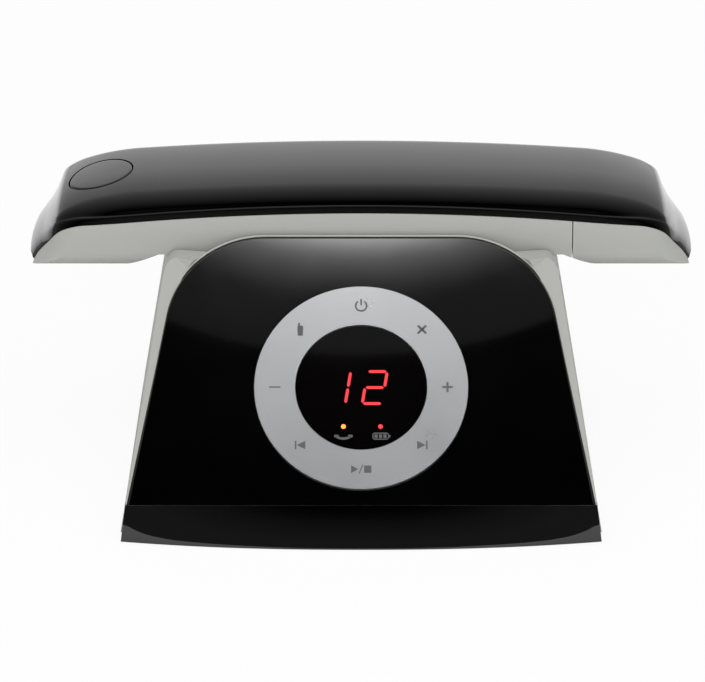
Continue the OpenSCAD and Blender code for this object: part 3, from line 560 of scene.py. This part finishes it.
def cut(obj, cutter):
    """Takes the cutter's space out of the mesh and drops the cutter."""
    mod = obj.modifiers.new("cut", "BOOLEAN")
    mod.operation, mod.solver, mod.object = "DIFFERENCE", "EXACT", cutter
    bpy.context.view_layer.update()
    mesh = bpy.data.meshes.new_from_object(obj.evaluated_get(bpy.context.evaluated_depsgraph_get()))
    obj.modifiers.clear()
    old = obj.data
    obj.data = mesh
    bpy.data.meshes.remove(old)
    bpy.data.objects.remove(cutter)
    mesh.polygons.foreach_set("use_smooth", [True] * len(mesh.polygons))
    mesh.set_sharp_from_angle(angle=math.radians(40))


def rod_cutter(matrix, radius, low, high, steps=96):
    bm = bmesh.new()
    bmesh.ops.create_cone(bm, cap_ends=True, segments=steps, radius1=radius * MM, radius2=radius * MM,
                          depth=(high - low) * MM)
    bmesh.ops.translate(bm, vec=(0, 0, (low + high) / 2 * MM), verts=bm.verts)
    bmesh.ops.transform(bm, matrix=matrix, verts=bm.verts)
    return from_bmesh("cutter", bm)


shell = back_shell()
cut(shell, rod_cutter(KEY_MATRIX, KEY_R + KEY_GAP, -8, 6))
finished(shell, "handset", "black_gloss")
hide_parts("handset_top_shell")
round_key_cap()

# ---------- smoothly shaded copies of the visible mouldings ----------

smooth_copy("main_housing", "base_housing", "base", "grey_shell", dissolve=False,
            shape=lambda p: narrowed(rounder_corner(p)))
smooth_copy("bottom_tray", "base_tray", "base", "black_matte", dissolve=False, shape=narrowed)
smooth_copy("front_panel", "gloss_panel", "base", "black_gloss", shape=lambda p: finer_foot(rounder_corner(p)))


def skirt_point(across, down, d):
    """A place on the skirt's front, from side to side and from the crease down, moved in by d."""
    top, foot = Z_CREASE - 0.2 - d, 0.4
    z = top + (foot - top) * down
    x = across * (HALF_FOOT - 0.5 * down - SIDE_TAPER * z - d)
    y_top = Y_CREASE + 0.3 + d
    y_foot = Y_FRONT + d + SKIRT_BULGE * abs(x / HALF_FOOT) ** 2.3
    return Vector((x, y_top + (y_foot - y_top) * (1 - (1 - down) ** 1.45), z)) * MM


def skirt():
    """The bulged front skirt: a smooth skin with a hollow back, thick at its ends."""
    rows, columns, wall_share = 14, 72, 0.93
    bm = bmesh.new()
    skins = []
    for d, share in ((0.0, 1.0), (1.8, wall_share)):
        skins.append([[bm.verts.new(skirt_point(share * (2 * j / columns - 1), i / rows, d))
                       for j in range(columns + 1)] for i in range(rows + 1)])
    outer, inner = skins
    back = [[bm.verts.new((row[j].co.x, SKIRT_BACK * MM, row[j].co.z)) for row in outer] for j in (0, -1)]
    shelf = [[bm.verts.new((row[j].co.x, SKIRT_BACK * MM, row[j].co.z)) for row in inner] for j in (0, -1)]
    for i in range(rows):
        for j in range(columns):
            bm.faces.new([outer[i][j], outer[i + 1][j], outer[i + 1][j + 1], outer[i][j + 1]])
            bm.faces.new([inner[i][j], inner[i][j + 1], inner[i + 1][j + 1], inner[i + 1][j]])
        for side, j in ((0, 0), (1, -1)):
            bm.faces.new([outer[i][j], outer[i + 1][j], back[side][i + 1], back[side][i]])
            bm.faces.new([inner[i][j], inner[i + 1][j], shelf[side][i + 1], shelf[side][i]])
            bm.faces.new([back[side][i], back[side][i + 1], shelf[side][i + 1], shelf[side][i]])
    for row_out, row_in, i in ((outer[0], inner[0], 0), (outer[-1], inner[-1], -1)):
        for j in range(columns):
            bm.faces.new([row_out[j], row_out[j + 1], row_in[j + 1], row_in[j]])
        for side, j in ((0, 0), (1, -1)):
            bm.faces.new([row_out[j], row_in[j], shelf[side][i], back[side][i]])
    obj = from_bmesh("gloss_skirt", bm, 35)
    finished(obj, "base", "black_gloss")
    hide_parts("front_skirt")


skirt()
smooth_copy("handset_lower_shell", "handset_front", "handset", "grey_shell", shape=slimmer_end)
smooth_copy("battery_cover", "battery_lid", "cover", "grey_shell", shape=slimmer_end)
smooth_copy("control_ring", "brushed_ring", "ring", "ring_aluminium", dissolve=False)

# ---------- display ----------


def segment(flat, x0, y0, x1, y1, width):
    """One lit bar of a digit, with pointed ends."""
    d = Vector((x1 - x0, y1 - y0)).normalized()
    n = Vector((-d.y, d.x)) * width / 2
    tip = d * width / 2
    flat.poly([(x0, y0), (x0 + tip.x + n.x, y0 + tip.y + n.y), (x1 - tip.x + n.x, y1 - tip.y + n.y), (x1, y1),
               (x1 - tip.x - n.x, y1 - tip.y - n.y), (x0 + tip.x - n.x, y0 + tip.y - n.y)])


SEGMENTS = {"a": (0, 2, 1, 2), "b": (1, 2, 1, 1), "c": (1, 1, 1, 0), "d": (0, 0, 1, 0), "e": (0, 1, 0, 0),
            "f": (0, 2, 0, 1), "g": (0, 1, 1, 1)}
DIGIT_W, DIGIT_H, DIGIT_SLANT, BAR_W, BAR_GAP = 6.2, 5.35, 0.16, 0.92, 0.22


def digit(name, lit, x, y):
    flat = Flat()
    for key in lit:
        x0, y0, x1, y1 = SEGMENTS[key]
        a = Vector((x0 * DIGIT_W + y0 * DIGIT_H * DIGIT_SLANT, y0 * DIGIT_H))
        b = Vector((x1 * DIGIT_W + y1 * DIGIT_H * DIGIT_SLANT, y1 * DIGIT_H))
        d = (b - a).normalized() * BAR_GAP
        segment(flat, a.x + d.x, a.y + d.y, b.x - d.x, b.y - d.y, BAR_W)
    flat.place(name, on_slope(x, RING_UP + y, WINDOW_TOP), "base", "display_red", LIT_RED)


digit("counter_tens", "bc", -11.2, -5.25)
digit("counter_ones", "abged", 0.35, -5.25)

for name, x, mat in (("message_light", -5.6, LIT_AMBER), ("charge_light", 6.1, LIT_RED)):
    flat = Flat()
    flat.disc(0, 0, 0.75)
    flat.place(name, on_slope(x, RING_UP - 12.9, WINDOW_TOP), "base", "led_amber", mat)

flat = Flat()
flat.arc(0, 3.3, 4.1, 236, 304, 0.75, 16)
flat.poly([(-2.9, -0.35), (-1.5, -0.35), (-1.5, 0.45), (-2.9, 0.45)])
flat.poly([(1.5, -0.35), (2.9, -0.35), (2.9, 0.45), (1.5, 0.45)])
flat.place("message_icon", on_slope(-5.6, RING_UP - 16.1, WINDOW_TOP), "base", "display_red", INK_DIM)

flat = Flat()
flat.stroke([(-2.3, -1.0), (1.7, -1.0), (2.2, -0.6), (2.2, 0.6), (1.7, 1.0), (-2.3, 1.0), (-2.7, 0.6),
             (-2.7, -0.6)], 0.3, closed=True)
for i in range(3):
    flat.box(-2.2 + i * 1.4, -0.6, -1.2 + i * 1.4, 0.6)
flat.box(2.45, -0.4, 2.8, 0.4)
flat.place("charge_icon", on_slope(6.4, RING_UP - 16.1, WINDOW_TOP), "base", "display_red", INK_DIM)

# ---------- the eight symbols on the ring ----------


def power(f):
    f.arc(0, 0, 1.75, 125, 415, 0.55, 26)
    f.box(-0.27, 0.2, 0.27, 2.3)


def cross(f):
    for s in (-1, 1):
        f.stroke([(-1.35, -1.35 * s), (1.35, 1.35 * s)], 0.75)


def plus(f):
    f.box(-1.7, -0.34, 1.7, 0.34)
    f.box(-0.34, 0.34, 0.34, 1.7)
    f.box(-0.34, -1.7, 0.34, -0.34)


def minus(f):
    f.box(-1.8, -0.25, 1.8, 0.25)


def skip(f, s):
    points = [(-1.7 * s, -1.4), (1.0 * s, 0), (-1.7 * s, 1.4)]
    f.poly(points if s > 0 else points[::-1])
    f.box(min(1.1 * s, 1.6 * s), -1.4, max(1.1 * s, 1.6 * s), 1.4)


def play_stop(f):
    f.poly([(-3.2, -1.3), (-0.9, 0), (-3.2, 1.3)])
    f.stroke([(-0.7, -1.5), (0.5, 1.5)], 0.32)
    f.box(0.9, -1.2, 3.2, 1.2)


def locator(f):
    f.poly([(-0.8, -2.1), (0.8, -2.1), (0.95, 0.6), (0.8, 1.3), (-0.1, 1.3), (-0.1, 2.3), (-0.6, 2.3), (-0.8, 1.3),
            (-0.95, 0.6)])


for name, draw, degrees in (("power", power, 90), ("delete", cross, 45), ("louder", plus, 0),
                            ("next", lambda f: skip(f, 1), -45), ("play_stop", play_stop, -90),
                            ("previous", lambda f: skip(f, -1), -135), ("quieter", minus, 180),
                            ("locate", locator, 135)):
    flat = Flat()
    draw(flat)
    a = math.radians(degrees)
    spot = on_slope(ICON_RADIUS * math.cos(a), RING_UP + ICON_RADIUS * math.sin(a), RING_PROUD)
    flat.place("symbol_" + name, spot, "ring", "ring_aluminium", INK_GREY, thick=0.03)

# ---------- legends on the handset's keys ----------


def handset_symbol(f, down):
    """A small receiver, lying down for the end key."""
    lift = 0 if down else 0.2
    f.arc(0, -1.9 + lift, 2.6, 40, 140, 0.75, 14)
    f.box(-2.5, -0.75 + lift, -1.35, 0.15 + lift)
    f.box(1.35, -0.75 + lift, 2.5, 0.15 + lift)


LEGENDS = [("soft_left_key", 0, 1, "bar"), ("up_key", 0, 0, "up"), ("soft_right_key", 0, -1, "bar"),
           ("talk_key", 1, 1, "talk"), ("down_key", 1, 0, "down"), ("end_key", 1, -1, "end")]
LEGENDS += [("key_%d" % (3 * r + c + 1), 2 + r, 1 - c, str(3 * r + c + 1)) for r in range(3) for c in range(3)]
LEGENDS += [("key_star", 5, 1, "*"), ("key_0", 5, 0, "0"), ("key_hash", 5, -1, "#")]
KEY_SLOTS = {"talk_key": "key_green", "end_key": "key_red"}
KEY_SLOTS.update((k, "key_silver") for k in ("soft_left_key", "up_key", "soft_right_key", "down_key"))
for node, row, column, mark in LEGENDS:
    flat = Flat()
    ink = INK_WHITE
    if mark == "bar":
        flat.box(-1.6, -0.3, 1.6, 0.3)
        ink = INK_DARK
    elif mark in ("up", "down"):
        s = 1 if mark == "up" else -1
        points = [(-1.7, -0.9 * s), (1.7, -0.9 * s), (0, 1.3 * s)]
        flat.poly(points if s > 0 else points[::-1])
        ink = INK_DARK
    elif mark in ("talk", "end"):
        handset_symbol(flat, mark == "end")
    else:
        flat.glyph(mark, 5.6, 0, -1.0 if mark == "*" else 0)
    flat.place("legend_" + node, under(ROW_X0 + row * PITCH_X, HANDSET_Y + column * PITCH_Y, KEY_FACE_Z),
               node + "_body", KEY_SLOTS.get(node, "key_black"), ink, thick=0.04)

# ---------- finishes of the nodes that stay as they are ----------

for name, node in frame["nodes"].items():
    if node.hide_render:
        continue
    for s in node.material_slots:
        base = s.material.name.split(".")[0] if s.material else ""
        if base in MATS:
            s.material = MATS[base]
        else:
            print("no finish for", name, base)

# ---------- floor, light and camera ----------


def stage_floor():
    bm = bmesh.new()
    bmesh.ops.create_grid(bm, x_segments=8, y_segments=8, size=6)
    floor = from_bmesh("floor", bm)
    m = bpy.data.materials.new("pale_floor")
    m.use_nodes = True
    nodes, links = m.node_tree.nodes, m.node_tree.links
    shader = nodes["Principled BSDF"]
    shader.inputs["Base Color"].default_value = (0.86, 0.86, 0.86, 1)
    shader.inputs["Roughness"].default_value = 0.9
    shader.inputs["Specular IOR Level"].default_value = 0.0
    path = nodes.new("ShaderNodeLightPath")
    white = nodes.new("ShaderNodeEmission")
    white.inputs["Strength"].default_value = 1.0
    share = nodes.new("ShaderNodeMath")
    share.operation = "MULTIPLY"
    share.inputs[1].default_value = 0.92
    mix = nodes.new("ShaderNodeMixShader")
    links.new(path.outputs["Is Camera Ray"], share.inputs[0])
    links.new(share.outputs[0], mix.inputs[0])
    links.new(shader.outputs[0], mix.inputs[1])
    links.new(white.outputs[0], mix.inputs[2])
    links.new(mix.outputs[0], nodes["Material Output"].inputs["Surface"])
    floor.data.materials.append(m)
    return floor


# (sine of the way back from upright, brightness)
MIRROR_ROOM = [(-0.9, 0.09), (-0.66, 0.05), (-0.5, 0.0), (-0.45, 0.0), (-0.27, 0.07), (0.08, 0.2), (0.41, 0.31),
               (0.78, 0.37), (0.9, 0.66), (1.0, 0.64)]
# sideways share of a reflection's direction where the room starts to darken, where it stops, and its level there
DIM_FROM, DIM_TO, DIM_LEVEL = 0.25, 0.75, 0.4
# (share of the softbox's radius, brightness as a share of its middle)
SOFTBOX_FALL = [(0.71, 1.0), (0.73, 0.66), (0.75, 0.37), (0.77, 0.19), (0.79, 0.13), (0.81, 0.09), (0.83, 0.054),
                (0.865, 0.017), (1.0, 0.017)]


def fill_ramp(node, stops, low=-1.0, high=1.0):
    elements = node.color_ramp.elements
    while len(elements) < len(stops):
        elements.new(0.5)
    for element, (at, level) in zip(elements, stops):
        element.position = (at - low) / (high - low)
        element.color = (level, level, level, 1)


def studio_world():
    """A white backdrop for the camera, a dim room for what mirrors it, and even soft light for the rest."""
    world = bpy.data.worlds.new("studio")
    bpy.context.scene.world = world
    world.use_nodes = True
    nodes, links = world.node_tree.nodes, world.node_tree.links
    nodes.clear()
    out = nodes.new("ShaderNodeOutputWorld")
    place = nodes.new("ShaderNodeTexCoord")
    axes = nodes.new("ShaderNodeSeparateXYZ")
    links.new(place.outputs["Generated"], axes.inputs[0])

    # brightness of what a mirror sees, from in front of the object, over it, to behind it
    along = nodes.new("ShaderNodeMapRange")
    along.inputs["From Min"].default_value = -1
    along.inputs["From Max"].default_value = 1
    links.new(axes.outputs["Y"], along.inputs["Value"])
    ramp = nodes.new("ShaderNodeValToRGB")
    fill_ramp(ramp, MIRROR_ROOM)
    links.new(along.outputs["Result"], ramp.inputs["Fac"])
    # the room darkens to its sides, which the handset's ends mirror
    sideways = nodes.new("ShaderNodeMath")
    sideways.operation = "ABSOLUTE"
    links.new(axes.outputs["X"], sideways.inputs[0])
    dim = nodes.new("ShaderNodeMapRange")
    dim.inputs["From Min"].default_value = DIM_FROM
    dim.inputs["From Max"].default_value = DIM_TO
    dim.inputs["To Min"].default_value = 1.0
    dim.inputs["To Max"].default_value = DIM_LEVEL
    links.new(sideways.outputs[0], dim.inputs["Value"])
    path = nodes.new("ShaderNodeLightPath")
    seen = nodes.new("ShaderNodeMath")
    seen.operation = "MAXIMUM"
    links.new(path.outputs["Is Glossy Ray"], seen.inputs[0])
    links.new(path.outputs["Is Transmission Ray"], seen.inputs[1])
    soft = nodes.new("ShaderNodeBackground")
    soft.inputs["Color"].default_value = (1, 1, 1, 1)
    soft.inputs["Strength"].default_value = 0.55
    glossy = nodes.new("ShaderNodeBackground")
    links.new(dim.outputs["Result"], glossy.inputs["Strength"])
    links.new(ramp.outputs["Color"], glossy.inputs["Color"])
    white = nodes.new("ShaderNodeBackground")
    white.inputs["Color"].default_value = (1, 1, 1, 1)
    white.inputs["Strength"].default_value = 1.0
    first, second = nodes.new("ShaderNodeMixShader"), nodes.new("ShaderNodeMixShader")
    links.new(seen.outputs[0], first.inputs[0])
    links.new(soft.outputs[0], first.inputs[1])
    links.new(glossy.outputs[0], first.inputs[2])
    links.new(path.outputs["Is Camera Ray"], second.inputs[0])
    links.new(first.outputs[0], second.inputs[1])
    links.new(white.outputs[0], second.inputs[2])
    links.new(second.outputs[0], out.inputs["Surface"])


def lamp(name, place, aim, size, power, mirrored=False, shape="SQUARE"):
    light = bpy.data.lights.new(name, "AREA")
    light.shape, light.size, light.energy = shape, size, power
    obj = bpy.data.objects.new(name, light)
    bpy.context.scene.collection.objects.link(obj)
    obj.location = Vector(place)
    obj.rotation_euler = (Vector(aim) - Vector(place)).to_track_quat("-Z", "Y").to_euler()
    obj.visible_glossy = mirrored
    return obj


def only_on(light, *objects):
    group = bpy.data.collections.new(light.name + "_receivers")
    for o in objects:
        group.objects.link(o)
    light.light_linking.receiver_collection = group


def softbox():
    """A round lamp over the object that fades from its middle and lights only the panel, ring and window."""
    radius, level = 0.225, 6.0
    box = lamp("softbox", (0, -0.166, 0.8), (0, -0.166, 0), 2 * radius, (math.pi * radius) ** 2 * level,
               mirrored=True, shape="DISK")
    box.data.use_nodes = True
    nodes, links = box.data.node_tree.nodes, box.data.node_tree.links
    emission = nodes["Emission"]
    place = nodes.new("ShaderNodeNewGeometry")
    middle = nodes.new("ShaderNodeVectorMath")
    middle.operation = "SUBTRACT"
    middle.inputs[1].default_value = (0.5, 0.5, 0)
    links.new(place.outputs["Parametric"], middle.inputs[0])
    flat = nodes.new("ShaderNodeVectorMath")
    flat.operation = "MULTIPLY"
    flat.inputs[1].default_value = (2, 2, 0)
    links.new(middle.outputs[0], flat.inputs[0])
    away = nodes.new("ShaderNodeVectorMath")
    away.operation = "LENGTH"
    links.new(flat.outputs[0], away.inputs[0])
    ramp = nodes.new("ShaderNodeValToRGB")
    fill_ramp(ramp, SOFTBOX_FALL, 0.0)
    links.new(away.outputs["Value"], ramp.inputs["Fac"])
    links.new(ramp.outputs["Color"], emission.inputs["Color"])
    only_on(box, *[bpy.data.objects[n] for n in ("gloss_panel", "brushed_ring")], frame["nodes"]["display_window"])


stage_floor()
studio_world()
LAMP_SHARE = 0.84
lamp("front_soft", (-0.25, -1.5, 0.95), (0, 0, 0.04), 1.2, 9 * LAMP_SHARE)
lamp("front_soft_right", (0.5, -1.4, 0.7), (0, 0, 0.04), 1.0, 5 * LAMP_SHARE)
lamp("overhead_soft", (0, 0.0, 1.4), (0, 0, 0.0), 1.4, 8 * LAMP_SHARE)
softbox()

CAMERA_TARGET = Vector((-2.74, 15.84, 31.43)) * MM
CAMERA_TILT = math.radians(25.58)
CAMERA_DISTANCE = 1.6973
camera = bpy.data.cameras.new("camera")
camera.lens, camera.sensor_width = 265.87, 36
camera.clip_start, camera.clip_end = 0.01, 50
view = bpy.data.objects.new("camera", camera)
bpy.context.scene.collection.objects.link(view)
back = Vector((0, -math.cos(CAMERA_TILT), math.sin(CAMERA_TILT)))
view.location = CAMERA_TARGET + back * CAMERA_DISTANCE
view.rotation_euler = (math.pi / 2 - CAMERA_TILT, 0, 0)
bpy.context.scene.camera = view
bpy.context.scene.view_settings.view_transform = "Standard"
